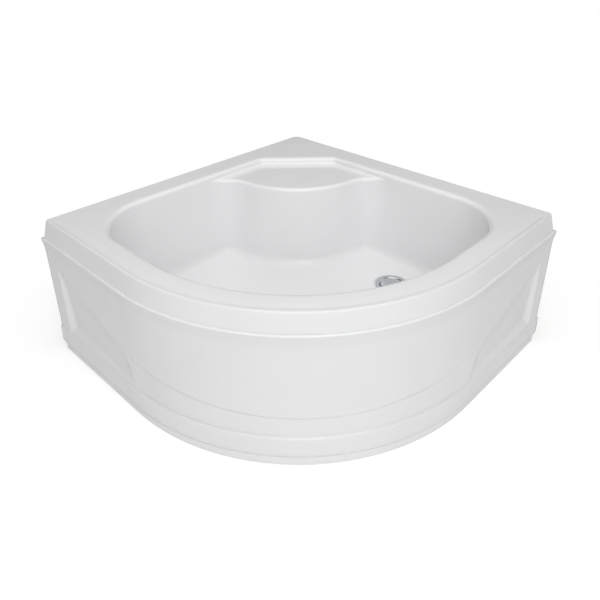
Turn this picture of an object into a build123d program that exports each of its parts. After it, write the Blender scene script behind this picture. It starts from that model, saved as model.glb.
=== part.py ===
from build123d import *
import os
from math import asin, atan2, cos, degrees, radians, sin, sqrt, tan

os.makedirs("parts", exist_ok=True)

# Quadrant corner shower tray with a moulded seat and a front panel, in millimetres.
# The two wall sides lie at -X and +Y, the curved front faces +X and -Y, and Z is up from the floor.

# Whole tray
side = 900.0
height = 384.0
front_radius = 550.0

# Tray moulding: acrylic sheet with a glass fibre laminate sprayed on its underside
sheet = 5.0
laminate = 4.0
rim_top_inset = 23.0
rim_lip_inset = 10.0
lip_depth = 41.0
rim_edge_radius = 4.0
rim_corner_radius = 20.0
wall_rim_width = 74.0
front_rim_width = 88.0
basin_corner_radius = 155.0
basin_floor_height = 134.0
basin_draft = 3.5
basin_floor_radius = 25.0
mouth_radius = 11.0

# Corner seat, measured from the back corner
seat_drop = 17.0
seat_nose_distance = 413.0
seat_wing_distance = 439.0
seat_cove_radius = 80.0
seat_back_distance = 218.0
seat_plan_radius = 25.0
seat_edge_radius = 6.0

# Waste, placed from the two wall sides
waste_from_left_wall = 562.0
waste_from_back_wall = 204.0
waste_hole_radius = 31.0
dish_radius = 48.0
dish_depth = 3.0
well_radius = 39.0
well_depth = 8.0
seal_thickness = 1.5
flange_radius = 44.5
flange_thickness = 3.0
flange_throat_radius = 36.0
tail_radius = 30.5
tail_bore_radius = 28.5
tail_length = 28.0
tail_lip = 2.1
tail_lip_height = 3.0
tail_lip_drop = 15.5
thread_gap = 0.05
cap_radius = 29.5
cap_sink = 2.5
cap_edge = 2.5
cap_crown = 3.5
dip_tube_radius = 26.0
dip_tube_wall = 2.0
dip_tube_floor_gap = 7.0
collar_height = 3.5
collar_gap = 0.3
tube_ring_height = 1.0
cap_leg_count = 3
cap_leg_width = 2.5
cap_leg_depth = 7.0

# Trap and outlet pipe
trap_wall = 3.0
trap_radius = 53.0
trap_bottom = 12.0
trap_neck_radius = 35.0
trap_neck_height = 11.0
trap_flange_radius = 46.0
trap_flange_height = 6.5
outlet_drop = 39.0
outlet_bore_radius = 17.5
outlet_spigot_radius = 22.0
outlet_spigot_length = 27.0
outlet_pipe_radius = 20.0
outlet_pipe_free_length = 66.0
outlet_root_radius = 21.0
outlet_nut_radius = 29.0
outlet_nut_length = 36.0
outlet_nut_sides = 12
outlet_seal_length = 6.5
pipe_gap = 0.3
root_overrun = 0.5

# Boards and battens under the moulding
base_board = 12.0
base_board_margin = 50.0
trap_opening_radius = 68.0
batten_width = 30.0
batten_height = 22.0
batten_gap = 2.0
batten_front_gap = 45.0
seat_bearer = 12.0
seat_bearer_back_distance = 232.0
seat_bearer_depth = 70.0
seat_bearer_margin = 12.0

# Steel frame: two crossing square tubes under the base board
rail = 30.0
rail_wall = 2.0
cross_rail_from_corner = 666.0
main_rail_start = 206.0
main_rail_front_gap = 89.0
cross_rail_reach = 330.0
rail_cap_thickness = 3.0
rail_plug_length = 12.0
fit_gap = 0.1
post = 25.0
post_wall = 2.0
post_from_corner = 266.0
post_plate = 3.0
post_top_plate_side = 60.0
post_foot_plate_length = 60.0

# Adjustable feet
foot_inset = 30.0
foot_rod_radius = 6.0
foot_rod_top_gap = 9.0
foot_pad_radius = 26.0
foot_pad_rim = 6.0
foot_pad_height = 16.0
foot_pad_neck_radius = 11.0
foot_hex_height = 8.0
foot_hex_flats = 14.0
hex_sides = 6
nut_flats = 19.0
weld_nut_height = 10.0
lock_nut_height = 7.0
rod_hole_gap = 0.6

# Screws
screw_radius = 2.0
screw_head_radius = 4.5
screw_head_height = 3.0
screw_length = 9.0
driver_hole_radius = 6.0
rail_screw_rear = 510.0
rail_screw_front_gap = 140.0
rail_screw_side = 150.0
post_screw_spacing = 44.0

# Front panel: moulded acrylic sheet with returns at top and bottom
panel_sheet = 3.5
panel_floor_gap = 1.0
panel_wall_gap = 0.5
panel_return = 29.5
bead_radius = 5.0
bead_inset = 4.0
bead_turn = 20.0
bead_top_gap = 1.0
cove_height = 14.0
face_top_inset = 8.0
face_foot_inset = 5.0
plinth_top = 79.0
plinth_top_inset = 0.8
plinth_ledge = 4.0
plinth_belly = 45.0
plinth_curl_inset = 5.5
toe_height = 24.0
toe_inset = 6.0
toe_notch = 1.2

# Moulded recesses of the panel's flat ends, and the shallow band under the curved crease
recess_start = 50.0
recess_end_gap = 5.0
recess_top = 194.0
recess_end_top = 86.0
recess_depth = 12.0
recess_top_depth = 5.0
recess_end_depth = 3.0
recess_slope = 45.0
band_depth = 2.0
band_overrun = 12.0
band_limit = 130.0
crease_height = 135.0
crease_radius = 2150.0

# Clips that carry the panel's top return
clip_count_on_arc = 3
clip_arc_spacing = 27.0
clip_from_wall = 160.0
block_inset = 30.0
block_depth = 28.0
block_width = 50.0
block_height = 22.0
bracket_inset = 32.0
bracket_sheet = 2.0
bracket_width = 30.0
bracket_reach = 24.0
bracket_drop = 37.0
clip_width = 24.0
clip_wall = 2.0
clip_arm = 3.0
clip_arm_reach = 12.0
clip_slot_gap = 0.3
clip_screw_drop = 10.0
rivet_radius = 2.0
rivet_head_radius = 4.0
rivet_head_height = 2.0

# Sizes worked out from those above
half = side / 2
root2 = sqrt(2)
arc_x = half - front_radius
arc_y = -arc_x
corner_u = -half * root2
main_rail_end = side * root2 - (root2 - 1) * front_radius - main_rail_front_gap
floor_level = basin_floor_height
basin_depth = height - basin_floor_height
flat_length = side - front_radius
waste_x = -half + waste_from_left_wall
waste_y = half - waste_from_back_wall
laminate_bottom = floor_level - sheet - laminate
rail_top = laminate_bottom - base_board
rail_bottom = rail_top - rail
outlet_height = rail_top - outlet_drop
rim_underside = height - sheet
lip_bottom = height - lip_depth
front_dir = Vector(1, -1, 0).normalized()
side_dir = Vector(1, 1, 0).normalized()
up_dir = Vector(0, 0, 1)


def diagonal(u, v):
    """Plan point at u along the diagonal towards the front and v across it."""
    return ((u + v) / root2, (v - u) / root2)


def twin(point):
    """The same plan point on the other side of the tray's diagonal."""
    return (-point[1], -point[0])


def finish(builder, name):
    """Labels a finished piece and writes it."""
    builder.part.label = name
    export_step(builder.part, "parts/" + name + ".step")


# Basin


def basin_lines():
    """Plan outline of the basin's mouth: two walls, two front corners, the arc and the seat's wave."""
    left = -half + wall_rim_width
    front = -half + front_rim_width
    wing = (left, half - seat_wing_distance)
    cove_u = (left + seat_cove_radius - wing[1]) / root2
    cove_v = (left + seat_cove_radius + wing[1]) / root2
    nose_u = corner_u + seat_nose_distance
    back = cove_u - nose_u
    nose_radius = (seat_cove_radius**2 - back**2 - cove_v**2) / (2 * (back - seat_cove_radius))
    share = nose_radius / (nose_radius + seat_cove_radius)
    nose_centre = nose_u - nose_radius
    meet = diagonal(nose_centre + (cove_u - nose_centre) * share, cove_v * share)
    wall_end = (left, front + basin_corner_radius)
    front_end = (left + basin_corner_radius, front)
    with BuildLine() as outline:
        Line(wall_end, wing)
        cove = TangentArc(wing, meet, tangent=(0, 1))
        nose = TangentArc(meet, twin(meet), tangent=cove % 1)
        TangentArc(twin(meet), twin(wing), tangent=nose % 1)
        Line(twin(wing), twin(wall_end))
        TangentArc(twin(wall_end), twin(front_end), tangent=(1, 0))
        Line(twin(front_end), (-front, arc_y))
        CenterArc((arc_x, arc_y), -front - arc_x, 0, -90)
        Line((arc_x, front), front_end)
        TangentArc(front_end, wall_end, tangent=(-1, 0))
    return outline.line


def seat_outline(grow, plane):
    """Plan of the seat's recess, run on over the basin so that the two join."""
    left = -half + wall_rim_width
    turn = (left, left - (corner_u + seat_back_distance) * root2)
    wing = (left, half - seat_wing_distance - seat_cove_radius)
    middle = diagonal(corner_u + seat_nose_distance + seat_cove_radius, 0)
    with BuildSketch(plane) as outline:
        Polygon(wing, turn, twin(turn), twin(wing), middle, align=None)
        fillet(outline.vertices().group_by(Axis((0, 0, 0), (-1, 1, 0)))[-1], seat_plan_radius)
        if grow:
            offset(amount=grow)
    return outline.sketch


def basin_void(grow):
    """The space inside the basin and over the seat, made larger all round by grow."""
    mouth_plane = Plane.XY.offset(height)
    with BuildPart() as void:
        with BuildSketch(mouth_plane):
            add(basin_lines())
            make_face()
            if grow:
                offset(amount=grow)
        extrude(amount=-(basin_depth + grow), taper=basin_draft)
        fillet(void.faces().sort_by(Axis.Z)[0].edges(), basin_floor_radius + grow)
        add(seat_outline(grow, mouth_plane))
        extrude(amount=-(seat_drop + grow), taper=basin_draft)
        for radius, depth in ((dish_radius, dish_depth), (well_radius, well_depth)):
            with BuildSketch(Plane.XY.offset(floor_level - depth - grow)):
                with Locations((waste_x, waste_y)):
                    Circle(radius + grow)
            extrude(amount=depth + grow + 1)
    return void.part


def front_lines(front_inset, wall_overrun):
    """Plan outline inside the front line's inset, run on past both wall sides."""
    wall = half + wall_overrun
    flat = half - front_inset
    with BuildLine() as outline:
        Line((-wall, wall), (-wall, -flat))
        Line((-wall, -flat), (arc_x, -flat))
        CenterArc((arc_x, arc_y), front_radius - front_inset, -90, 90)
        Line((flat, arc_y), (flat, wall))
        Line((flat, wall), (-wall, wall))
    return outline.line


def rim_block(inset):
    """Block under the rim's top: upright at the two walls, leaning outwards at the front down to the lip."""
    lean = degrees(atan2(rim_top_inset - rim_lip_inset, lip_depth))
    with BuildPart() as block:
        with BuildSketch(Plane.XY.offset(lip_bottom)):
            add(front_lines(rim_lip_inset + inset, lip_depth))
            make_face()
        extrude(amount=lip_depth - inset, taper=lean)
        with BuildSketch(Plane.XY.offset(lip_bottom)) as square:
            Rectangle(side - 2 * inset, side - 2 * inset)
            fillet(square.vertices().sort_by(Axis((0, 0, 0), (-1, 1, 0)))[-1], rim_corner_radius - inset)
        extrude(amount=lip_depth, mode=Mode.INTERSECT)
    return block.part


basin = basin_void(0)
basin_outside = basin_void(sheet)
laminate_outside = basin_void(sheet + laminate)
rim_outside = rim_block(0)
rim_inside = rim_block(sheet)

with BuildPart() as tray_shell:
    add(rim_outside)
    fillet(tray_shell.faces().sort_by(Axis.Z)[-1].edges(), rim_edge_radius)
    add(rim_inside, mode=Mode.SUBTRACT)
    add(basin_outside)
    add(basin, mode=Mode.SUBTRACT)
    with Locations((waste_x, waste_y, floor_level)):
        Hole(waste_hole_radius)
    rim_top = tray_shell.faces().filter_by(Plane.XY).sort_by(Axis.Z)[-1]
    fillet(rim_top.inner_wires()[0].edges(), mouth_radius)
    seat_level = tray_shell.edges().filter_by_position(
        Axis.Z, height - seat_drop - fit_gap, height - seat_drop + fit_gap
    )
    fillet(seat_level.filter_by(GeomType.CIRCLE).sort_by(SortBy.LENGTH)[-1], seat_edge_radius)
finish(tray_shell, "tray_shell")

with BuildPart() as reinforcement:
    add(laminate_outside)
    add(basin_outside, mode=Mode.SUBTRACT)
    split(bisect_by=Plane.XY.offset(rim_underside), keep=Keep.BOTTOM)
    with Locations((waste_x, waste_y, floor_level)):
        Hole(waste_hole_radius)
finish(reinforcement, "reinforcement_layer")


# Boards and battens

rail_screw_points = [
    diagonal(corner_u + rail_screw_rear, 0),
    diagonal(corner_u + main_rail_end - rail_screw_front_gap, 0),
    diagonal(corner_u + cross_rail_from_corner, rail_screw_side),
    diagonal(corner_u + cross_rail_from_corner, -rail_screw_side),
]

with BuildPart() as board:
    with BuildSketch(Plane.XY.offset(rail_top)):
        add(basin_lines())
        make_face()
        offset(amount=-base_board_margin)
        with Locations((waste_x, waste_y)):
            Circle(trap_opening_radius, mode=Mode.SUBTRACT)
    extrude(amount=base_board)
    with BuildSketch(Plane.XY.offset(rail_top)):
        with Locations(*rail_screw_points):
            Circle(screw_radius)
    extrude(amount=screw_length, mode=Mode.SUBTRACT)
finish(board, "base_board")


def batten(along, across, name):
    """Timber batten under a wall side of the rim, given its extent in X and Y."""
    with BuildPart() as piece:
        with BuildSketch(Plane.XY.offset(rim_underside - batten_height)):
            with Locations((along[0], across[0])):
                Rectangle(along[1] - along[0], across[1] - across[0], align=Align.MIN)
        extrude(amount=batten_height)
    finish(piece, name)


batten_outer = half - sheet - batten_gap
batten_inner = batten_outer - batten_width
batten_front = -half + batten_front_gap
batten_back = half - sheet - rim_corner_radius
batten((-batten_outer, -batten_inner), (batten_front, batten_back), "rim_batten_left")
batten((-batten_inner, -batten_front), (batten_inner, batten_outer), "rim_batten_back")

bearer_top = height - seat_drop - sheet - laminate
bearer_bottom = bearer_top - seat_bearer
post_point = diagonal(corner_u + post_from_corner, 0)
post_screw_points = [
    diagonal(corner_u + post_from_corner, -post_screw_spacing / 2),
    diagonal(corner_u + post_from_corner, post_screw_spacing / 2),
]

with BuildPart() as bearer:
    wall_u = (-half + wall_rim_width) * root2
    back_u = corner_u + seat_bearer_back_distance
    lead_u = back_u + seat_bearer_depth
    corners = [
        diagonal(back_u, wall_u - back_u + seat_bearer_margin),
        diagonal(lead_u, wall_u - lead_u + seat_bearer_margin),
    ]
    with BuildSketch(Plane.XY.offset(bearer_bottom)):
        Polygon(corners[0], twin(corners[0]), twin(corners[1]), corners[1], align=None)
    extrude(amount=seat_bearer)
    with BuildSketch(Plane.XY.offset(bearer_bottom)):
        with Locations(*post_screw_points):
            Circle(screw_radius)
    extrude(amount=screw_length, mode=Mode.SUBTRACT)
finish(bearer, "seat_bearer")


# Steel frame

cross_u = corner_u + cross_rail_from_corner
rail_middle = (rail_top + rail_bottom) / 2
main_length = main_rail_end - main_rail_start
foot_points = [
    diagonal(corner_u + main_rail_start + foot_inset, 0),
    diagonal(cross_u, 0),
    diagonal(corner_u + main_rail_end - foot_inset, 0),
    diagonal(cross_u, -cross_rail_reach + foot_inset),
    diagonal(cross_u, cross_rail_reach - foot_inset),
]


def rail_plane(point, direction):
    """Plane across a rail at a plan point, whose own Y is up."""
    return Plane(origin=(point[0], point[1], rail_middle), x_dir=up_dir.cross(direction), z_dir=direction)


def square_tube(plane, length, outer, wall):
    """Square steel tube from a plane."""
    with BuildPart() as tube:
        with BuildSketch(plane):
            Rectangle(outer, outer)
            Rectangle(outer - 2 * wall, outer - 2 * wall, mode=Mode.SUBTRACT)
        extrude(amount=length)
    return tube.part


def drilled_rail(plane, length, feet, screws, name):
    """Rail with holes for its feet and screws, and driver holes under the screws."""
    tube = square_tube(plane, length, rail, rail_wall)
    with BuildPart() as piece:
        add(tube)
        with BuildSketch(Plane.XY.offset(rail_bottom)):
            with Locations(*feet):
                Circle(foot_rod_radius + rod_hole_gap)
            with Locations(*screws):
                Circle(driver_hole_radius)
        extrude(amount=rail_wall, mode=Mode.SUBTRACT)
        with BuildSketch(Plane.XY.offset(rail_top)):
            with Locations(*screws):
                Circle(screw_radius)
        extrude(amount=-rail_wall, mode=Mode.SUBTRACT)
    finish(piece, name)


rail_ends = [
    (diagonal(corner_u + main_rail_start, 0), -front_dir),
    (diagonal(corner_u + main_rail_end, 0), front_dir),
    (diagonal(cross_u, -cross_rail_reach), -side_dir),
    (diagonal(cross_u, cross_rail_reach), side_dir),
]
cross_length = cross_rail_reach - rail / 2
rear_foot, middle_foot, front_foot, left_foot, right_foot = foot_points
rear_screw, front_screw, right_screw, left_screw = rail_screw_points
drilled_rail(
    rail_plane(rail_ends[0][0], front_dir),
    main_length,
    [rear_foot, middle_foot, front_foot],
    [rear_screw, front_screw],
    "main_rail",
)
left_rail_plane = rail_plane(diagonal(cross_u, -rail / 2), -side_dir)
right_rail_plane = rail_plane(diagonal(cross_u, rail / 2), side_dir)
drilled_rail(left_rail_plane, cross_length, [left_foot], [left_screw], "cross_rail_left")
drilled_rail(right_rail_plane, cross_length, [right_foot], [right_screw], "cross_rail_right")

with BuildPart() as caps:
    for point, direction in rail_ends:
        with BuildSketch(rail_plane(point, direction)):
            Rectangle(rail, rail)
        extrude(amount=rail_cap_thickness)
        with BuildSketch(rail_plane(point, direction)):
            Rectangle(rail - 2 * rail_wall - fit_gap, rail - 2 * rail_wall - fit_gap)
        extrude(amount=-rail_plug_length)
finish(caps, "rail_end_caps")

post_foot = rail_top + post_plate
post_head = bearer_bottom - post_plate
across_plane = Plane(origin=(post_point[0], post_point[1], post_foot), x_dir=front_dir, z_dir=up_dir)

seat_post_tube = square_tube(across_plane, post_head - post_foot, post, post_wall)
with BuildPart() as seat_post:
    add(seat_post_tube)
finish(seat_post, "seat_post")

with BuildPart() as foot_plate:
    with BuildSketch(across_plane.offset(-post_plate)):
        Rectangle(post_foot_plate_length, rail)
    extrude(amount=post_plate)
finish(foot_plate, "post_foot_plate")

with BuildPart() as head_plate:
    with BuildSketch(across_plane.offset(post_head - post_foot)):
        Rectangle(post_top_plate_side, post_top_plate_side)
    extrude(amount=post_plate)
    with BuildSketch(Plane.XY.offset(post_head)):
        with Locations(*post_screw_points):
            Circle(screw_radius)
    extrude(amount=post_plate, mode=Mode.SUBTRACT)
finish(head_plate, "post_top_plate")


def upward_screws(points, face, grip, name):
    """Screws driven up from a face, through a plate of thickness grip, into timber."""
    with BuildPart() as screws:
        with BuildSketch(Plane.XY.offset(face)):
            with Locations(*points):
                Circle(screw_head_radius)
        extrude(amount=-screw_head_height)
        with BuildSketch(Plane.XY.offset(face)):
            with Locations(*points):
                Circle(screw_radius)
        extrude(amount=grip + screw_length)
    finish(screws, name)


upward_screws(rail_screw_points, rail_top - rail_wall, rail_wall, "rail_screws")
upward_screws(post_screw_points, post_head, post_plate, "seat_bearer_screws")


# Adjustable feet

weld_nut_bottom = rail_bottom - weld_nut_height
lock_nut_bottom = weld_nut_bottom - lock_nut_height


def hex_nuts(bottom, tall, name):
    """One hexagon nut round each foot's rod."""
    with BuildPart() as nuts:
        with BuildSketch(Plane.XY.offset(bottom)):
            with Locations(*foot_points):
                RegularPolygon(nut_flats / 2, hex_sides, major_radius=False)
                Circle(foot_rod_radius + thread_gap, mode=Mode.SUBTRACT)
        extrude(amount=tall)
    finish(nuts, name)


hex_nuts(weld_nut_bottom, weld_nut_height, "weld_nuts")
hex_nuts(lock_nut_bottom, lock_nut_height, "lock_nuts")


def foot(number, point):
    """Threaded rod with spanner flats, and the moulded pad it stands in."""
    with BuildPart() as rod:
        with BuildSketch(Plane.XY.offset(foot_pad_rim)):
            with Locations(point):
                Circle(foot_rod_radius)
        extrude(amount=rail_top - rail_wall - foot_rod_top_gap - foot_pad_rim)
        with BuildSketch(Plane.XY.offset(foot_pad_height)):
            with Locations(point):
                RegularPolygon(foot_hex_flats / 2, hex_sides, major_radius=False)
        extrude(amount=foot_hex_height)
    finish(rod, f"foot_rod_{number}")
    with BuildPart() as pad:
        with BuildSketch():
            with Locations(point):
                Circle(foot_pad_radius)
        extrude(amount=foot_pad_rim)
        with BuildSketch(Plane.XY.offset(foot_pad_rim)):
            with Locations(point):
                Circle(foot_pad_radius)
        with BuildSketch(Plane.XY.offset(foot_pad_height)):
            with Locations(point):
                Circle(foot_pad_neck_radius)
        loft()
        with BuildSketch(Plane.XY.offset(foot_pad_rim)):
            with Locations(point):
                Circle(foot_rod_radius + thread_gap)
        extrude(amount=foot_pad_height - foot_pad_rim, mode=Mode.SUBTRACT)
    finish(pad, f"foot_pad_{number}")


for number, point in enumerate(foot_points, 1):
    foot(number, point)


# Waste and trap

waste_plane = Plane(origin=(waste_x, waste_y, 0), x_dir=(1, 0, 0), z_dir=(0, -1, 0))
waste_axis = Axis((waste_x, waste_y, 0), (0, 0, 1))
dish_floor = floor_level - dish_depth
well_floor = floor_level - well_depth
flange_bottom = dish_floor + seal_thickness
flange_top = flange_bottom + flange_thickness
tail_bottom = flange_bottom - tail_length
tail_lip_top = flange_top - tail_lip_drop
clamp_top = well_floor - sheet - laminate
trap_top = clamp_top - seal_thickness
cap_bottom = flange_top - cap_sink


def turned(points, name):
    """Piece turned about the waste's axis from a half section of radius and height."""
    with BuildPart() as piece:
        with BuildSketch(waste_plane):
            with BuildLine():
                Polyline(*points, close=True)
            make_face()
        revolve(axis=waste_axis)
    finish(piece, name)


def washer(inner, outer, bottom, top, name):
    """Flat ring round the waste's axis."""
    turned([(inner, bottom), (outer, bottom), (outer, top), (inner, top)], name)


flange_chamfer = flange_thickness / 2
well_clearance = waste_hole_radius - tail_radius
turned(
    [
        (tail_radius, tail_bottom),
        (tail_radius, well_floor + seal_thickness),
        (well_radius - 2 * seal_thickness, flange_bottom),
        (flange_radius, flange_bottom),
        (flange_radius, flange_top - flange_chamfer),
        (flange_radius - flange_chamfer, flange_top),
        (flange_throat_radius, flange_top),
        (tail_bore_radius, well_floor + 2 * seal_thickness),
        (tail_bore_radius, tail_lip_top),
        (tail_bore_radius - tail_lip, tail_lip_top),
        (tail_bore_radius - tail_lip, tail_lip_top - tail_lip_height),
        (tail_bore_radius, tail_lip_top - tail_lip_height),
        (tail_bore_radius, tail_bottom),
    ],
    "waste_flange",
)
washer(well_radius + well_clearance, flange_radius - well_clearance, dish_floor, flange_bottom, "flange_seal")
washer(waste_hole_radius, trap_flange_radius - seal_thickness, trap_top, clamp_top, "clamp_seal")

collar_bottom = tail_lip_top + tube_ring_height
collar_top = collar_bottom + collar_height
collar_radius = tail_bore_radius - collar_gap
tube_bore = dip_tube_radius - dip_tube_wall
dip_tube_bottom = trap_bottom + trap_wall + dip_tube_floor_gap
washer(dip_tube_radius + fit_gap, collar_radius, tail_lip_top, collar_bottom, "dip_tube_ring")

with BuildPart() as dip_tube:
    with BuildSketch(waste_plane):
        with BuildLine():
            Polyline(
                (tube_bore, dip_tube_bottom),
                (dip_tube_radius, dip_tube_bottom),
                (dip_tube_radius, collar_bottom),
                (collar_radius, collar_bottom),
                (collar_radius, collar_top),
                (tube_bore, collar_top),
                close=True,
            )
        make_face()
    revolve(axis=waste_axis)
    leg_plane = Plane(origin=(waste_x, waste_y, collar_bottom), z_dir=(0, 0, 1))
    with BuildSketch(leg_plane):
        with PolarLocations(dip_tube_radius - cap_leg_depth / 2 - fit_gap, cap_leg_count):
            Rectangle(cap_leg_depth, cap_leg_width)
    extrude(amount=cap_bottom - collar_bottom)
finish(dip_tube, "dip_tube")

cap_top = cap_bottom + cap_edge + cap_crown
dome_radius = (cap_radius**2 + cap_crown**2) / (2 * cap_crown)
with BuildPart() as cap:
    with BuildSketch(waste_plane):
        with BuildLine():
            Line((0, cap_bottom), (cap_radius, cap_bottom))
            Line((cap_radius, cap_bottom), (cap_radius, cap_bottom + cap_edge))
            CenterArc((0, cap_top - dome_radius), dome_radius, 90, -degrees(asin(cap_radius / dome_radius)))
            Line((0, cap_top), (0, cap_bottom))
        make_face()
    revolve(axis=waste_axis)
    shoulder = cap_bottom + cap_edge
    fillet(cap.edges().filter_by_position(Axis.Z, shoulder - fit_gap, shoulder + fit_gap), cap_edge / 2)
finish(cap, "waste_cap")

spigot_start = waste_y + sqrt(trap_radius**2 - outlet_spigot_radius**2) - trap_wall
spigot_end = waste_y + trap_radius + outlet_spigot_length
neck_bore = tail_radius + thread_gap
neck_bottom = trap_top - trap_flange_height - trap_neck_height


def outlet_plane(start, towards=1):
    """Plane across the outlet's axis at a place in Y, facing the back wall or, with -1, the trap."""
    return Plane(origin=(waste_x, start, outlet_height), x_dir=(1, 0, 0), z_dir=(0, towards, 0))


with BuildPart() as trap:
    with BuildSketch(waste_plane):
        with BuildLine():
            Polyline(
                (0, trap_bottom),
                (trap_radius, trap_bottom),
                (trap_radius, neck_bottom),
                (trap_neck_radius, neck_bottom),
                (trap_neck_radius, trap_top - trap_flange_height),
                (trap_flange_radius, trap_top - trap_flange_height),
                (trap_flange_radius, trap_top),
                (neck_bore, trap_top),
                (neck_bore, neck_bottom - trap_wall),
                (trap_radius - trap_wall, neck_bottom - trap_wall),
                (trap_radius - trap_wall, trap_bottom + trap_wall),
                (0, trap_bottom + trap_wall),
                close=True,
            )
        make_face()
    revolve(axis=waste_axis)
    with BuildSketch(outlet_plane(spigot_start)):
        Circle(outlet_spigot_radius)
    extrude(amount=spigot_end - spigot_start)
    with BuildSketch(outlet_plane(waste_y)):
        Circle(outlet_bore_radius)
    extrude(amount=spigot_end - waste_y, mode=Mode.SUBTRACT)
finish(trap, "trap_body")


def pipe_ring(start, end, outer, inner, name):
    """Ring or tube along the outlet's axis, from start to end in Y."""
    with BuildPart() as piece:
        with BuildSketch(outlet_plane(start)):
            Circle(outer)
            Circle(inner, mode=Mode.SUBTRACT)
        extrude(amount=end - start)
    finish(piece, name)


pipe_start = spigot_end + pipe_gap
seal_end = pipe_start + outlet_seal_length
nut_start = spigot_end - outlet_nut_length / 2
root_end = nut_start + outlet_nut_length + root_overrun
pipe_ring(pipe_start, seal_end, outlet_spigot_radius, outlet_root_radius + thread_gap, "outlet_seal")

with BuildPart() as outlet_pipe:
    with BuildSketch(outlet_plane(pipe_start)):
        Circle(outlet_root_radius)
    extrude(amount=root_end - pipe_start)
    with BuildSketch(outlet_plane(root_end)):
        Circle(outlet_pipe_radius)
    extrude(amount=outlet_pipe_free_length)
    with BuildSketch(outlet_plane(pipe_start)):
        Circle(outlet_bore_radius)
    extrude(amount=root_end + outlet_pipe_free_length - pipe_start, mode=Mode.SUBTRACT)
finish(outlet_pipe, "outlet_pipe")

with BuildPart() as outlet_nut:
    with BuildSketch(outlet_plane(nut_start)):
        RegularPolygon(outlet_nut_radius, outlet_nut_sides)
        Circle(outlet_root_radius + thread_gap, mode=Mode.SUBTRACT)
    extrude(amount=outlet_nut_length)
    with BuildSketch(outlet_plane(seal_end, -1)):
        Circle(outlet_spigot_radius + thread_gap)
    extrude(amount=outlet_nut_length, mode=Mode.SUBTRACT)
finish(outlet_nut, "outlet_nut")


# Front panel

bead_top = lip_bottom - bead_top_gap
face_top = bead_top - 2 * bead_radius - cove_height
ledge_top = plinth_top + plinth_ledge
face_lean = atan2(face_top_inset - face_foot_inset, face_top - ledge_top)


def front_path(trim):
    """Line of the panel's plinth in plan, from trim past one wall round to trim short of the other."""
    with BuildLine() as path:
        Line((-half + trim, -half), (arc_x, -half))
        CenterArc((arc_x, arc_y), front_radius, -90, 90)
        Line((half, arc_y), (half, half - trim))
    return path.line


def panel_section():
    """Section of the panel's outer face, closed at the back, with the inset as X and the height as Y."""
    turn = radians(bead_turn)
    bead_start = (bead_inset + bead_radius, bead_top)
    bead_front = (bead_inset, bead_top - bead_radius)
    bead_end = (bead_inset + bead_radius * (1 - cos(turn)), bead_top - bead_radius * (1 + sin(turn)))
    with BuildSketch() as section:
        with BuildLine():
            Line((panel_return, panel_floor_gap), (toe_inset, panel_floor_gap))
            Line((toe_inset, panel_floor_gap), (toe_inset, toe_height - toe_notch))
            Line((toe_inset, toe_height - toe_notch), (toe_inset + toe_notch, toe_height))
            Line((toe_inset + toe_notch, toe_height), (plinth_curl_inset, toe_height + toe_notch))
            TangentArc((0, plinth_belly), (plinth_curl_inset, toe_height + toe_notch), tangent=(0, -1))
            Line((0, plinth_belly), (plinth_top_inset, plinth_top))
            Line((plinth_top_inset, plinth_top), (face_foot_inset, ledge_top))
            Line((face_foot_inset, ledge_top), (face_top_inset, face_top))
            TangentArc(bead_end, (face_top_inset, face_top), tangent=(sin(turn), -cos(turn)))
            ThreePointArc(bead_end, bead_front, bead_start)
            Line(bead_start, (panel_return, bead_top))
            Line((panel_return, bead_top), (panel_return, panel_floor_gap))
        make_face()
    return section.sketch


def path_plane():
    """Plane across the panel at its left end: X is inwards and Y is up."""
    return Plane(origin=(-half + panel_wall_gap, -half, 0), x_dir=(0, 1, 0), z_dir=(1, 0, 0))


def recess_outline(face):
    """Four sided outline of a recess on the panel's leaning face."""
    end = flat_length - recess_end_gap
    with BuildSketch(face) as outline:
        Polygon((recess_start, 0), (end, 0), (end, recess_end_top), (recess_start, recess_top), align=None)
    return outline.sketch


def recess_cutter(shift):
    """Wedge moulded into a flat end: deepest at the wall end's foot, least at the arc's end of its top line."""
    outwards = Vector(0, -cos(face_lean), sin(face_lean))
    foot = Vector(-half, -half + face_foot_inset, ledge_top)
    face = Plane(origin=foot - outwards * shift, x_dir=(1, 0, 0), z_dir=outwards)
    width = flat_length - recess_end_gap - recess_start
    rise = (recess_depth - recess_top_depth) / recess_top
    end_rise = (recess_depth - rise * recess_end_top - recess_end_depth) / width
    floor_normal = face.z_dir - face.x_dir * end_rise - face.y_dir * rise
    with BuildPart() as cutter:
        add(recess_outline(face))
        extrude(amount=-recess_depth, taper=recess_slope)
        add(recess_outline(face))
        extrude(amount=recess_depth + shift)
        deepest = face.from_local_coords(Vector(recess_start, 0, -recess_depth))
        split(bisect_by=Plane(origin=deepest, z_dir=floor_normal), keep=Keep.TOP)
    return cutter.part


def band_cutter(shift):
    """Shallow band between the plinth and the curved crease, all along the arc."""
    start = flat_length - band_overrun
    inner_foot = face_foot_inset + band_depth + shift
    profile = [
        (face_foot_inset - recess_depth, ledge_top),
        (inner_foot, ledge_top),
        (inner_foot + band_limit * tan(face_lean), ledge_top + band_limit),
        (face_foot_inset - recess_depth, ledge_top + band_limit),
    ]
    with BuildPart() as cutter:
        with BuildSketch(Plane(origin=(-half + start, -half, 0), x_dir=(0, 1, 0), z_dir=(1, 0, 0))):
            Polygon(*profile, align=None)
        sweep(path=front_path(start))
        crease_centre = (0, 0, crease_height + crease_radius)
        with BuildSketch(Plane(origin=crease_centre, x_dir=side_dir, z_dir=front_dir)):
            Circle(crease_radius)
        extrude(amount=side, mode=Mode.SUBTRACT)
    return cutter.part


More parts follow.
